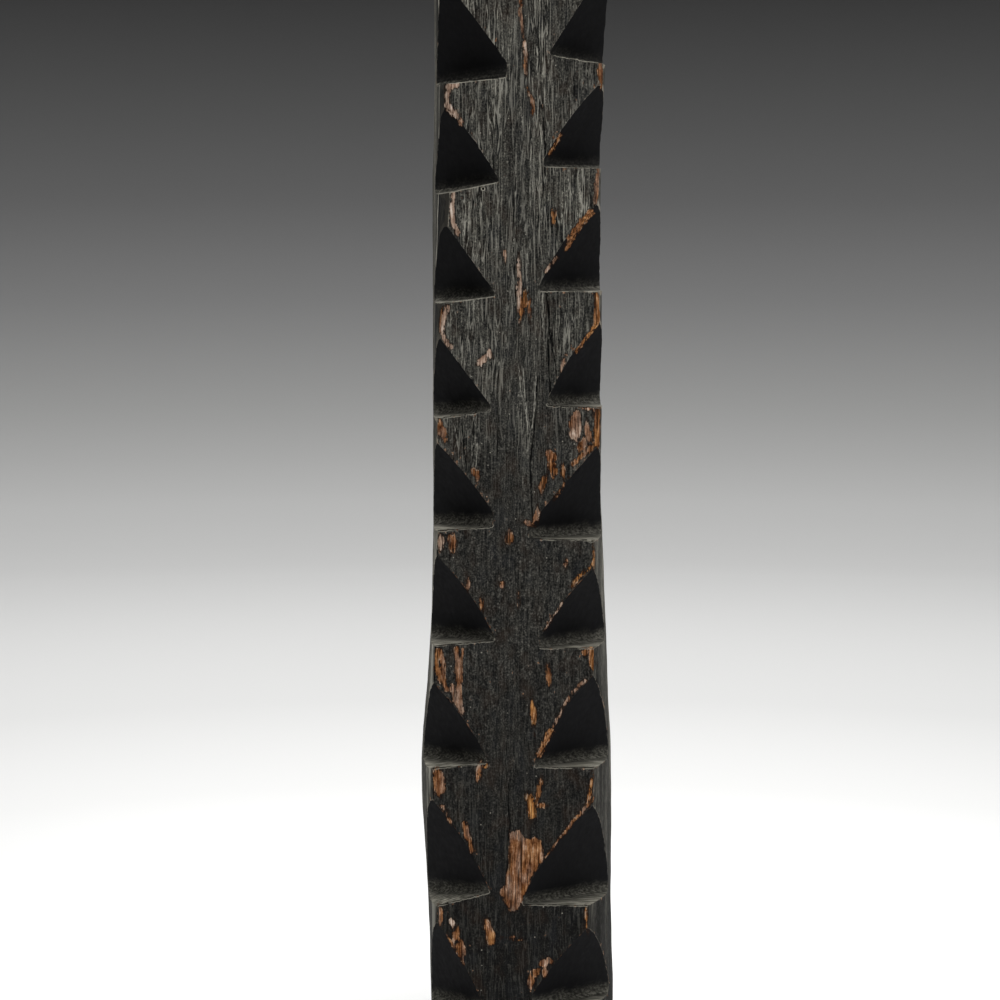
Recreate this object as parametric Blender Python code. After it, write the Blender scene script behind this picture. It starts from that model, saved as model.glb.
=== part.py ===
"""Carved house post: one squared hardwood timber with a column of notches cut into each front edge.

The post stands upright on its square-sawn foot, with its carved face towards -Y. Each notch is one
chip of wood taken out of a front edge: a level ledge below, and a slanted facet that runs down and
inwards from the edge and meets the ledge along a root line. The uncut lengths of edge between the
notches are the shoulders. Lengths are in metres, +Z is up.
"""

import math
from collections import namedtuple

import bmesh
import bpy
from mathutils import Vector

# ---- driving dimensions ----
POST_LENGTH = 1.280
POST_DEPTH = 0.180
CROWN = 0.0012  # the carved face stands this much proud along its middle
FRONT_Y = CROWN - POST_DEPTH / 2  # the carved face at its two edges
WIDEST_DEPTH = 0.116  # how far behind the carved face the timber is widest
BACK_SQUARENESS = 3.2  # 2 makes the back corners round, more makes them square
STATIONS = 33  # cross-sections along the timber
FRONT_STEPS, SIDE_STEPS, BACK_STEPS = 6, 7, 7  # edges across each part of a cross-section
SIDE_CROWDING = 1.6  # above 1, the edges on a side crowd towards the front

# The hewn timber isn't straight: at each height, how far the front edge and the widest part of the
# side stand from the middle plane, left and right, and how far the right side also bulges in front
# of its widest part.
Hewn = namedtuple("Hewn", "height left_edge left_side right_edge right_side right_bulge")
TIMBER = (
    Hewn(0.000, 0.097, 0.1080, 0.080, 0.1195, 0.0000),
    Hewn(0.160, 0.097, 0.1130, 0.083, 0.1155, 0.0000),
    Hewn(0.320, 0.104, 0.1195, 0.090, 0.1145, 0.0000),
    Hewn(0.465, 0.101, 0.1090, 0.089, 0.1090, 0.0000),
    Hewn(0.600, 0.097, 0.1050, 0.089, 0.1030, 0.0010),
    Hewn(0.740, 0.097, 0.1050, 0.095, 0.0980, 0.0035),
    Hewn(0.880, 0.091, 0.1045, 0.093, 0.0975, 0.0050),
    Hewn(1.010, 0.082, 0.1050, 0.091, 0.0960, 0.0045),
    Hewn(1.150, 0.084, 0.1020, 0.092, 0.0985, 0.0075),
    Hewn(1.280, 0.086, 0.1030, 0.093, 0.1030, 0.0100),
)
# Each side swells from the front edge to the widest part: this share of it close behind the edge,
# which is worn round, and the rest further back, straight (1) or more and more curved.
LEFT_ROUNDING, RIGHT_ROUNDING = 0.42, 0.08
LEFT_CURVE, RIGHT_CURVE = 1.2, 1.8
ROUNDING_DEPTH = 0.008

# Each notch: the ledge's height at the front edge, how much higher its inner corner is, the facet's
# height above the ledge, its reach across the face, the upright heel at its inner corner, and how
# hollow the facet is.
Notch = namedtuple("Notch", "ledge dip rise reach heel hollow")
LEFT_NOTCHES = (
    Notch(0.031, 0.008, 0.111, 0.054, 0.002, 0.003),
    Notch(0.165, 0.016, 0.127, 0.061, 0.002, 0.005),
    Notch(0.331, 0.007, 0.102, 0.065, 0.004, 0.004),
    Notch(0.479, 0.006, 0.106, 0.071, 0.003, 0.005),
    Notch(0.616, 0.005, 0.103, 0.066, 0.014, 0.003),
    Notch(0.749, 0.009, 0.093, 0.063, 0.004, 0.000),
    Notch(0.884, 0.008, 0.088, 0.062, 0.002, 0.000),
    Notch(1.013, 0.012, 0.098, 0.057, 0.002, 0.0025),
    Notch(1.139, 0.007, 0.118, 0.069, 0.015, 0.001),
)
RIGHT_NOTCHES = (
    Notch(0.039, 0.001, 0.097, 0.064, 0.014, 0.003),
    Notch(0.165, 0.002, 0.120, 0.078, 0.003, 0.007),
    Notch(0.332, 0.001, 0.110, 0.071, 0.004, 0.006),
    Notch(0.476, 0.000, 0.094, 0.064, 0.009, 0.004),
    Notch(0.604, 0.003, 0.112, 0.078, 0.011, 0.001),
    Notch(0.762, 0.002, 0.099, 0.062, 0.003, 0.005),
    Notch(0.898, 0.000, 0.100, 0.069, 0.004, 0.006),
    Notch(1.041, 0.002, 0.095, 0.062, 0.006, 0.004),
    Notch(1.163, 0.009, 0.100, 0.056, 0.002, 0.000),
)
NOTCH_DEPTH = 0.080  # how far back each ledge runs along the side
FRONT_COVE, REAR_COVE = 0.001, 0.010  # facet and ledge meet sharply in front, in a cove behind
COVE_STEPS = 4
HOLLOW_STEPS = 4
OVERRUN = 0.050  # how far a cutter runs on past the timber

LEFT, RIGHT = -1, 1


def smooth_between(height, field):
    """One of the timber's outlines at this height, as a curve through its named points."""
    last = len(TIMBER) - 1
    i = next((k for k in range(last) if height <= TIMBER[k + 1].height), last - 1)
    p0, p1, p2, p3 = (TIMBER[min(max(k, 0), last)] for k in (i - 1, i, i + 1, i + 2))
    span = p2.height - p1.height
    t = (height - p1.height) / span
    v0, v1, v2, v3 = (getattr(p, field) for p in (p0, p1, p2, p3))
    m1 = (v2 - v0) * span / (p2.height - p0.height)
    m2 = (v3 - v1) * span / (p3.height - p1.height)
    return (
        (2 * t**3 - 3 * t**2 + 1) * v1
        + (t**3 - 2 * t**2 + t) * m1
        + (3 * t**2 - 2 * t**3) * v2
        + (t**3 - t**2) * m2
    )


def front_edge_x(height, side):
    return side * smooth_between(height, "left_edge" if side == LEFT else "right_edge")


def widest_x(height, side):
    return side * smooth_between(height, "left_side" if side == LEFT else "right_side")


def side_x(height, side, depth):
    """Where the side surface is, this far behind the carved face and in front of the widest part."""
    edge, widest = front_edge_x(height, side), widest_x(height, side)
    near_edge = 1 - math.exp(-depth / ROUNDING_DEPTH)
    reach = depth / WIDEST_DEPTH
    if side == LEFT:
        rounding, curve, bulge = LEFT_ROUNDING, LEFT_CURVE, 0
    else:
        rounding, curve = RIGHT_ROUNDING, RIGHT_CURVE
        bulge = smooth_between(height, "right_bulge") * near_edge * math.cos(math.pi / 2 * reach) ** 2
    long_curve = 1 - (1 - reach) ** curve
    return edge + (widest - edge) * (rounding * near_edge + (1 - rounding) * long_curve) + bulge


def cross_section(height):
    """The timber's outline at this height, anticlockwise from above, from the left front edge."""
    left, right = front_edge_x(height, LEFT), front_edge_x(height, RIGHT)
    points = []
    for i in range(FRONT_STEPS):
        t = i / FRONT_STEPS
        points.append((left + (right - left) * t, FRONT_Y - CROWN * 4 * t * (1 - t)))
    side_depths = [WIDEST_DEPTH * (i / SIDE_STEPS) ** SIDE_CROWDING for i in range(SIDE_STEPS + 1)]
    for depth in side_depths[:-1]:
        points.append((side_x(height, RIGHT, depth), FRONT_Y + depth))
    widest_y = FRONT_Y + WIDEST_DEPTH
    back_span = POST_DEPTH / 2 - widest_y
    half_widths = {s: abs(widest_x(height, s)) for s in (LEFT, RIGHT)}
    quarter = [math.pi / 2 * i / BACK_STEPS for i in range(BACK_STEPS)]
    power = 2 / BACK_SQUARENESS
    for a in quarter:
        points.append((
            half_widths[RIGHT] * math.cos(a) ** power,
            widest_y + back_span * math.sin(a) ** power,
        ))
    for a in quarter:
        points.append((
            -half_widths[LEFT] * math.sin(a) ** power,
            widest_y + back_span * math.cos(a) ** power,
        ))
    for depth in reversed(side_depths[1:]):
        points.append((side_x(height, LEFT, depth), FRONT_Y + depth))
    return [Vector((x, y, height)) for x, y in points]


def loft(name, rings, collection):
    """A closed solid through rings of equal numbers of points, capped at both ends."""
    bm = bmesh.new()
    loops = [[bm.verts.new(p) for p in ring] for ring in rings]
    for low, high in zip(loops, loops[1:]):
        for i in range(len(low)):
            j = (i + 1) % len(low)
            bm.faces.new((low[i], low[j], high[j], high[i]))
    bm.faces.new(list(reversed(loops[0])))
    bm.faces.new(loops[-1])
    bmesh.ops.recalc_face_normals(bm, faces=bm.faces)
    bmesh.ops.triangulate(bm, faces=bm.faces)
    mesh = bpy.data.meshes.new(name)
    bm.to_mesh(mesh)
    bm.free()
    obj = bpy.data.objects.new(name, mesh)
    collection.objects.link(obj)
    return obj


def notch_profile(root_along, ledge_run, apex_run, hollow, heel, cove_radius):
    """The chip's outline square to its root line: ledge, cove, heel and the hollow facet above."""

    def square_to_root(v):
        return v - root_along * v.dot(root_along)

    up = square_to_root(Vector((0, 0, 1))).normalized()
    out = square_to_root(ledge_run)
    ledge_way = out.normalized()
    heel_top = up * heel
    facet_run = square_to_root(apex_run) - heel_top
    facet_way = facet_run.normalized()
    hollow_way = (facet_way - ledge_way).normalized()
    # The cove is an arc that touches the ledge and the facet.
    half_angle = facet_way.angle(ledge_way) / 2
    middle = (facet_way + ledge_way).normalized() * (cove_radius / math.sin(half_angle))
    touch = cove_radius / math.tan(half_angle)
    start = (ledge_way * touch - middle).normalized()
    end = (facet_way * touch - middle).normalized()
    steps = [i / COVE_STEPS for i in range(COVE_STEPS + 1)]
    cove = [middle + start.slerp(end, t) * cove_radius + heel_top * t for t in steps]
    facet = []
    for i in range(1, HOLLOW_STEPS):
        t = i / HOLLOW_STEPS
        facet.append(heel_top + facet_run * t + hollow_way * hollow * 4 * t * (1 - t))
    far = facet_run.length + 2 * OVERRUN
    ledge_far = ledge_way * (out.length + 2 * OVERRUN)
    return [ledge_far, *cove, *facet, heel_top + facet_run, heel_top + facet_way * far]


def notch_cutter(name, side, notch, collection):
    """The chip of one notch, run on past the timber so that it cuts cleanly."""
    edge = front_edge_x(notch.ledge, side)
    ledge_corner = Vector((edge, FRONT_Y, notch.ledge))
    inner = Vector((edge - side * notch.reach, FRONT_Y, notch.ledge + notch.dip))
    apex_height = notch.ledge + notch.rise
    apex = Vector((front_edge_x(min(apex_height, POST_LENGTH), side), FRONT_Y, apex_height))
    rear = Vector((side_x(notch.ledge, side, NOTCH_DEPTH), FRONT_Y + NOTCH_DEPTH, notch.ledge))
    root_along = (rear - inner).normalized()
    shape = (root_along, ledge_corner - inner, apex - inner, notch.hollow)
    front_profile = notch_profile(*shape, notch.heel, FRONT_COVE)
    rear_profile = notch_profile(*shape, 0, REAR_COVE)
    rings = [
        [inner - root_along * 2 * OVERRUN + p for p in front_profile],
        [inner + p for p in front_profile],
        [rear + p for p in rear_profile],
        [rear + root_along * OVERRUN + p for p in rear_profile],
    ]
    cutter = loft(name, rings, collection)
    cutter.display_type = "WIRE"
    cutter.hide_render = True
    return cutter


def smoked_hardwood():
    material = bpy.data.materials.new("smoked_hardwood")
    material.use_nodes = True
    surface = material.node_tree.nodes["Principled BSDF"]
    surface.inputs["Base Color"].default_value = (0.013, 0.012, 0.011, 1)
    surface.inputs["Roughness"].default_value = 0.6
    surface.inputs["Metallic"].default_value = 0.0
    return material


def main():
    for obj in list(bpy.data.objects):
        bpy.data.objects.remove(obj, do_unlink=True)
    parts = bpy.data.collections.new("carved_house_post")
    cutters = bpy.data.collections.new("cutters")
    for collection in (parts, cutters):
        bpy.context.scene.collection.children.link(collection)

    heights = [POST_LENGTH * i / (STATIONS - 1) for i in range(STATIONS)]
    post = loft("house_post", [cross_section(h) for h in heights], parts)
    post.data.materials.append(smoked_hardwood())
    for side, label, notches in ((LEFT, "left", LEFT_NOTCHES), (RIGHT, "right", RIGHT_NOTCHES)):
        for number, notch in enumerate(notches, 1):
            cutter = notch_cutter(f"notch_{label}_{number}", side, notch, cutters)
            cut = post.modifiers.new(cutter.name, "BOOLEAN")
            cut.operation = "DIFFERENCE"
            cut.solver = "EXACT"
            cut.object = cutter


main()
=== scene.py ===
import math
from functools import partial

import bmesh
import bpy
import numpy as np
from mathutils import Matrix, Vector
from mathutils.kdtree import KDTree


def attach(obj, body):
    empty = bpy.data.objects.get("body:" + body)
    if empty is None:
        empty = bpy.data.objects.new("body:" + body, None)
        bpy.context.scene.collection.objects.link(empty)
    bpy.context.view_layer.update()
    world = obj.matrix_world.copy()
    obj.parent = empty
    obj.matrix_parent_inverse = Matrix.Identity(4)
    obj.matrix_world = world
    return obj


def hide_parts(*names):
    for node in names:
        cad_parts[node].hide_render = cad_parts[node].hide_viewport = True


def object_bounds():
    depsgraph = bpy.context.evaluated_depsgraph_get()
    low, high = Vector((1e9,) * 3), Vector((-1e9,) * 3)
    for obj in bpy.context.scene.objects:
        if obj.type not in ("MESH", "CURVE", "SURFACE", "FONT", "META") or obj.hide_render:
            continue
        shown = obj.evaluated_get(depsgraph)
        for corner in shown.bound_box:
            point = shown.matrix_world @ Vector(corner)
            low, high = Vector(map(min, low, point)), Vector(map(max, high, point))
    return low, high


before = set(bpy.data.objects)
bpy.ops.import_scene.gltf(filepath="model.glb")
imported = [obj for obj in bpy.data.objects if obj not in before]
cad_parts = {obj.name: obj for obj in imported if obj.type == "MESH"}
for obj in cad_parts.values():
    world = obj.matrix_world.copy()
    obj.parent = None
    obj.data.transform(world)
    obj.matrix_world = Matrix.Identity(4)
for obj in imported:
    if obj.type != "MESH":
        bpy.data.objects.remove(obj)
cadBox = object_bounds()
mm = 0.001
print("stage: frame loaded")


def linearColour(hexColour):
    channels = [int(hexColour[i:i + 2], 16) / 255 for i in (1, 3, 5)]
    return (*[c / 12.92 if c <= 0.04045 else ((c + 0.055) / 1.055) ** 2.4 for c in channels], 1)


def smoothStep(low, high, values):
    t = np.clip((values - low) / (high - low), 0, 1)
    return t * t * (3 - 2 * t)


# A random number from 0 to 1 for each row of whole numbers, which large primes scatter.
def hashed(cells, seed):
    at = (cells + seed * 101) * (73856093, 19349663, 83492791)
    mixed = (at[..., 0] ^ at[..., 1] ^ at[..., 2]) & 0x7FFFFFFF
    for shift, factor in ((15, 668265263), (13, 374761393)):
        mixed = ((mixed ^ (mixed >> shift)) * factor) & 0x7FFFFFFF
    return ((mixed ^ (mixed >> 16)) & 0xFFFF) / 65535


# Smooth random values from -1 to 1 at points in mm, on a lattice with cells of these three sizes.
def cellNoise(points, cell, seed):
    scaled = points / np.array(cell)
    corner = np.floor(scaled).astype(np.int64)
    part = scaled - corner
    part = part * part * (3 - 2 * part)
    total = np.zeros(len(points))
    for step in np.ndindex(2, 2, 2):
        value = hashed(corner + step, seed) * 2 - 1
        total += value * np.prod(np.where(step, part, 1 - part), axis=1)
    return total


# The hollows that a rounded blade leaves side by side: 0 at the floor of each, up to about 1 on
# the ridges between them. A cell gives each cut's size across, into and up the post, in mm.
def toolScallops(points, cell, seed):
    scaled = points / np.array(cell)
    corner = np.floor(scaled).astype(np.int64)
    nearest = np.full(len(points), 9.0)
    for step in np.ndindex(3, 3, 3):
        at = corner + step - 1
        centre = at + np.stack([hashed(at, seed + k) for k in range(3)], 1)
        nearest = np.minimum(nearest, ((scaled - centre) ** 2).sum(1))
    return np.clip(nearest, 0, 1)


# How far each point is from a line through these points, which run across and up, in mm.
def lineGap(x, z, path):
    gap = np.full(len(x), 1e3)
    for (x0, z0), (x1, z1) in zip(path, path[1:]):
        runX, runZ = x1 - x0, z1 - z0
        t = np.clip(((x - x0) * runX + (z - z0) * runZ) / (runX ** 2 + runZ ** 2), 0, 1)
        gap = np.minimum(gap, np.hypot(x - x0 - t * runX, z - z0 - t * runZ))
    return gap


# The post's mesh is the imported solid, sliced finely enough to carry its own surface.
postMesh = {
    "frontAcross": 1.4,  # slices across the carved face and the facets, mm
    "frontAlong": 4.2,
    "skinAlong": 8.4,
    "skinAround": 4.0,  # slices round the sides and back, mm
    "ledgeBack": 3.0,
    "endAcross": 7.0,
    "edgeAngle": 30,  # degrees between two surfaces that meet in an edge
    "flatAngle": 0.8,  # degrees between faces that are joined before they are sliced
    "creaseAngle": 55,  # degrees at which an edge inside one surface still shows as a crease
    "weld": 0.001,  # mm between two corners that are one
    "notchSlope": 0.2,  # a face whose normal leans up or down more than this is in a notch,
    "ledgeSlope": 0.55,  # one that leans up more than this is its ledge,
    "endSlope": 0.99,  # and one that leans more than this is a sawn end
    "facing": 0.5,  # a face looks to the front or back when its normal points there more than this
    "cornerOut": 150,  # the front corners lie more than this out, across and forward together, mm
}
front, facet, ledge, skin, end = range(1, 6)  # the timber's surfaces


# Marks each face of the solid with the surface that it belongs to.
def markZones(bm, zone):
    limit = math.radians(postMesh["edgeAngle"])
    left, islands = set(bm.faces), []
    for seedFace in bm.faces:
        if seedFace not in left:
            continue
        left.discard(seedFace)
        island, waiting = [], [seedFace]
        while waiting:
            face = waiting.pop()
            island.append(face)
            for edge in face.edges:
                if edge.calc_face_angle(0) < limit:
                    near = [f for f in edge.link_faces if f in left]
                    left.difference_update(near)
                    waiting.extend(near)
        islands.append(island)
    # The sides and back have the most faces, and the carved face comes next.
    islands.sort(key=len, reverse=True)
    floorZ, topZ = cadBox[0].z, cadBox[1].z
    for rank, island in enumerate(islands):
        for face in island:
            x, y, z = face.calc_center_median()
            atEnd = z < floorZ + mm or z > topZ - mm
            outside = face.normal.y > -postMesh["facing"] or abs(x) - y > postMesh["cornerOut"] * mm
            upright = abs(face.normal.z) < postMesh["notchSlope"] and outside
            if atEnd and abs(face.normal.z) > postMesh["endSlope"]:
                face[zone] = end
            elif rank == 1:
                face[zone] = front
            elif rank == 0 and upright:
                face[zone] = skin
            else:
                face[zone] = ledge if face.normal.z > postMesh["ledgeSlope"] else facet


# Cuts these faces along one axis at every place in the list, by halves.
def sliceAlong(bm, faces, axis, places):
    if not places or not faces:
        return
    middle = len(places) // 2
    normal = Vector([i == axis for i in range(3)])
    verts = {v for f in faces for v in f.verts}
    edges = {e for f in faces for e in f.edges}
    cut = bmesh.ops.bisect_plane(
        bm, geom=[*verts, *edges, *faces], dist=postMesh["weld"] * mm,
        plane_co=normal * places[middle], plane_no=normal,
    )
    low, high = [], []
    for face in cut["geom"]:
        if isinstance(face, bmesh.types.BMFace):
            side = high if face.calc_center_median()[axis] > places[middle] else low
            side.append(face)
    sliceAlong(bm, low, axis, places[:middle])
    sliceAlong(bm, high, axis, places[middle + 1:])


def slicePost(bm, zone):
    plans = (
        ((front, facet), 2, "frontAlong"),
        ((skin,), 2, "skinAlong"),
        ((front, facet, ledge), 0, "frontAcross"),
        ((ledge,), 1, "ledgeBack"),
        ((skin,), 1, "skinAround"),
        ((skin,), 0, "skinAround"),
        ((end,), 0, "endAcross"),
        ((end,), 1, "endAcross"),
    )
    for zones, axis, step in plans:
        low, high = cadBox[0][axis], cadBox[1][axis]
        count = round((high - low) / (postMesh[step] * mm))
        places = [low + (high - low) * i / count for i in range(1, count)]
        if zones == (skin,) and axis == 0:  # across the back alone: the sides are sliced already
            faces = [f for f in bm.faces if f[zone] == skin and abs(f.normal.y) > postMesh["facing"]]
        else:
            faces = [f for f in bm.faces if f[zone] in zones]
        sliceAlong(bm, faces, axis, places)


# Finds the lines where the timber's surfaces meet, with a point every millimetre: the rims are the
# ledges' front edges, the slopes are the facets' front edges, the arrises bound the sides, the
# back and the ends, and the roots run between a facet and its ledge.
def edgeTrees(bm, zone):
    lines = {"rim": [], "slope": [], "arris": [], "root": []}
    for edge in bm.edges:
        kinds = {f[zone] for f in edge.link_faces}
        if len(kinds) < 2:
            continue
        if kinds & {skin, end}:
            kind = "arris"
        elif kinds == {front, ledge}:
            kind = "rim"
        else:
            kind = "slope" if kinds == {front, facet} else "root"
        a, b = (v.co for v in edge.verts)
        steps = max(1, round((b - a).length / mm))
        lines[kind].extend(a.lerp(b, i / steps) for i in range(steps + 1))
    trees = {}
    for kind, places in lines.items():
        trees[kind] = KDTree(len(places))
        for i, place in enumerate(places):
            trees[kind].insert(place, i)
        trees[kind].balance()
    return trees


# Heights, depths and distances are in mm.
timberSurface = {
    "crustBelow": 590, "openAbove": 930,  # a crust of soot below, open grain above, up the post
    "crustRise": 0.35,
    "grainWander": 2.4, "grainStray": 1.0,  # how far a line of grain strays, slowly and quickly
    "grainRise": 0.75,  # raised grain on the open part of the carved face
    "grainLeast": 0.4, "grainBelow": 0.1,  # its share where it opens least, and on the crust
    "fineRidge": 0.55, "mediumRidge": 0.35, "furrow": 0.8,  # what the grain's relief is made of
    "furrowNarrow": 3.2, "furrowLeast": 0.3,
    "boardRise": 0.35,  # broad swells that run up the carved face
    "hewnRise": 1.2, "hewnGrain": 0.5,  # adze hollows on the sides and back, and grain in them
    "toolRise": 0.4, "toolMiddle": 0.6,  # chisel cuts in the notches, and their level surface
    "facetGrain": 0.1, "ledgeGrit": 0.15, "sawRise": 0.25,
    "swellRise": 0.5, "dipRise": 0.25,  # long swells and shorter dips all over
    "sunk": 0.5,  # how far the worn surface lies inside the solid on average
    "edgeWear": 0.27, "wearStray": 0.225,  # how far the edges are worn back, and how that varies
    "wearReach": 2.6,  # how far in the wear starts
    "nickWear": 1.4, "nickReach": 3.4, "nickFrom": (0.3, 0.8),
    "patchFade": (-0.5, 0.5),  # open grain fades in as its noise passes from one to the other,
    "seamFade": (-0.5, 0.1),  # and so does a seam
    "seamFollow": 0.6,  # a seam follows the grain's strays only in part
    "seamLeast": 0.5,  # a split never fades below this, as a raised line of grain does
    "seamReach": 2.2, "seamFar": 4,  # how far out a seam colours the wood, and is looked for
    "seamShoulder": 1.5,  # its rise or depth runs out at this many half widths
    "chipStray": (1.5, 4.0),  # how far a chip's outline strays across and up
    "chipRag": 1.6, "chipFlakes": 0.4,  # its ragged edge, and the share of flakes among the fibres
    "smallRag": 0.4, "ragSize": 5,  # a small chip's is this share of its size, up to this size
    "stripFull": 1.3, "stripRag": 0.7,  # a bare strip's reach and its raggedness, in half widths
    "chipFade": (-0.6, 1.0), "chipDepth": 0.35,  # its step down from the crust, and how deep
    "chipMiddle": 0.5, "chipIn": (1, 6),  # how much deeper its middle is, and how far in
    "chipGrain": 0.3, "grainUp": 0.3,  # the grain's depth in its floor, and the most that stands up
    "chipBack": 14,  # chips reach this far round the edges
    "greatTone": 0.05, "toneStray": 0.5,  # the largest chip's tone, and how far all tones stray
    "dustStray": 3.0, "ledgeDustShade": (0.4, 22),  # least dust on a ledge, at its back where it is thinned as painted shade, and how far out it thickens
    "footDust": (0.32, 0.08), "footDustUp": (820, 960),  # share at the facets' feet, by height
    "footDustReach": 13,
    "besideFront": (12, 30),  # how far back still counts as beside the carved face
    "leftEdge": {
        # A band along the left edge, darker here as soot and painted shade, starts at this height and
        # ends along a line at these heights and depths, with a pale line, a painted highlight, and then
        # more soot and painted shade behind it.
        "above": 780, "fade": 90, "up": (900, 1150), "back": (44, 24), "stray": 2.0,
        "soot": 0.85, "sootEdge": (1.5, -1.5),
        "lineBack": 6, "lineWidth": 2.6, "lineStrength": 1.6, "lineUp": (850, 950), "lineLeast": 0.5,
        "sootBehind": 0.45, "behindFrom": (8, 12), "behindTo": (26, 60),
        # Lower down the edge is rubbed pale, in bands that run up it, with a dark line in front.
        "rubbedBelow": (660, 600), "rubbedFrom": (2, 6), "rubbedTo": (24, 34),
        "bandStray": 0.4, "wornStray": 0.2,
        "darkLine": 2.4, "darkness": 0.7,
    },
    # Random patterns: cells across, into and up the post, and a seed.
    "overTimber": {
        "wander": ((30, 30, 130), 1), "stray": ((8, 8, 30), 2), "patch": ((26, 26, 90), 6),
        "scab": ((6, 6, 8), 7), "grit": ((3, 3, 5), 8), "swell": ((70, 70, 110), 11),
        "dip": ((24, 24, 46), 18), "sawLine": ((90, 3.2, 90), 15), "wear": ((14, 14, 22), 16),
        "nick": ((7, 7, 9), 17), "chipAcross": ((8, 8, 14), 21), "chipUp": ((7, 7, 13), 22),
        "chipEdge": ((5, 5, 8), 24), "chipTone": ((6, 6, 14), 25), "seamFade": ((10, 10, 22), 26),
        "dustEdge": ((9, 9, 9), 27), "chamferEdge": ((20, 20, 50), 28), "rubbed": ((60, 7, 70), 29),
    },
    "alongGrain": {
        "fine": ((1.9, 1.9, 18), 3), "medium": ((4.2, 4.2, 70), 4), "broad": ((15, 15, 200), 5),
        "fringe": ((1.8, 1.8, 16), 23),
    },
    # Each tool's cuts: size across, into and up the post, and a seed.
    "facetCut": ((11, 11, 60), 12), "ledgeCut": ((60, 7, 40), 13), "adzeCut": ((40, 40, 58), 14),
}

# Splits and raised lines of the grain in the carved face: dark or pale (-1 or 1), half width and
# depth or height in mm, then points across and up the face, bottom first. The pale ones are raised grain
# with a painted highlight on it.
seams = (
    (-1, 1.2, 1.2, ((-4, 862), (-5, 899), (-6, 946), (-7, 1004), (-4, 1036))),
    (-1, 1.5, 1.8, ((37, 768), (36, 800), (34, 830), (36, 862), (32, 898))),
    (-1, 1.2, 1.4, ((44, 790), (41, 822), (37, 850))),
    (-1, 1.3, 1.6, ((17, 628), (15, 664), (14, 699), (18, 735), (21, 770), (22, 796))),
    (-1, 1.0, 1.2, ((-15, 196), (-13, 215), (-14, 240), (-11, 262), (-13, 285), (-12, 312))),
    (-1, 1.1, 1.0, ((28, 1013), (31, 1044), (30, 1062), (28, 1097), (26, 1137))),
    (-1, 1.2, 1.0, ((-56, 690), (-53, 714), (-54, 746))),
    (-1, 0.9, 0.8, ((-61, 694), (-65, 720), (-66, 746))),
    (-1, 0.9, 0.8, ((-26, 700), (-25, 776))),
    (-1, 0.9, 0.8, ((45, 884), (46, 930), (44, 990))),
    (-1, 0.9, 0.8, ((-30, 1040), (-33, 1090), (-31, 1120))),
    (1, 0.8, 0.5, ((2, 862), (-2, 905), (-8, 946), (-5, 969), (-4, 1039), (-1, 1085), (2, 1114))),
    (1, 0.8, 0.5, ((6, 969), (6, 1021), (3, 1039), (4, 1099))),
    (1, 0.8, 0.5, ((21, 1013), (23, 1027), (28, 1060), (24, 1085), (21, 1120), (21, 1180))),
    (1, 0.8, 0.5, ((33, 1171), (32, 1190), (31, 1250))),
    (1, 0.7, 0.4, ((24, 1190), (24, 1262))),
    (1, 0.7, 0.4, ((9, 880), (9, 945))),
    (1, 0.8, 0.5, ((29, 800), (28, 897))),
    (1, 0.8, 0.5, ((12, 722), (10, 741), (6, 764), (2, 782), (-1, 812))),
    (1, 0.8, 0.5, ((14, 722), (16, 746), (19, 768), (20, 804))),
    (1, 0.7, 0.4, ((11, 736), (7, 776), (5, 806))),
    (1, 0.7, 0.4, ((16, 690), (18, 722))),
    (1, 0.8, 0.4, ((-62, 688), (-67, 700), (-72, 720), (-75, 738))),
    (1, 0.7, 0.4, ((-50, 690), (-49, 722), (-51, 746))),
    (1, 0.7, 0.4, ((-60, 870), (-66, 920), (-64, 980))),
    (1, 0.7, 0.4, ((-45, 1040), (-49, 1080), (-46, 1120))),
    (1, 0.7, 0.4, ((52, 902), (55, 950), (54, 976))),
    (1, 0.7, 0.4, ((60, 1052), (61, 1110))),
    (1, 0.8, 0.5, ((-42, 1198), (-44, 1209), (-42, 1222))),
    (1, 0.8, 0.5, ((-38, 1196), (-36, 1209), (-38, 1220))),
    (1, 0.7, 0.4, ((-50, 1206), (-56, 1240), (-54, 1262))),
    (1, 0.8, 0.5, ((-25, 1198), (-26, 1212), (-24, 1232))),
    (1, 0.8, 0.5, ((-69, 986), (-69, 1012))),
    (1, 0.8, 0.5, ((-67, 956), (-67, 975), (-66, 989))),
    (1, 0.7, 0.4, ((-60, 976), (-60, 998))),
    (1, 0.8, 0.5, ((-55, 704), (-53, 723), (-53, 750))),
    (1, 0.7, 0.4, ((13, 990), (12, 1016), (14, 1060), (12, 1090))),
    (1, 0.7, 0.4, ((-20, 1130), (-22, 1165), (-19, 1190))),
)

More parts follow.
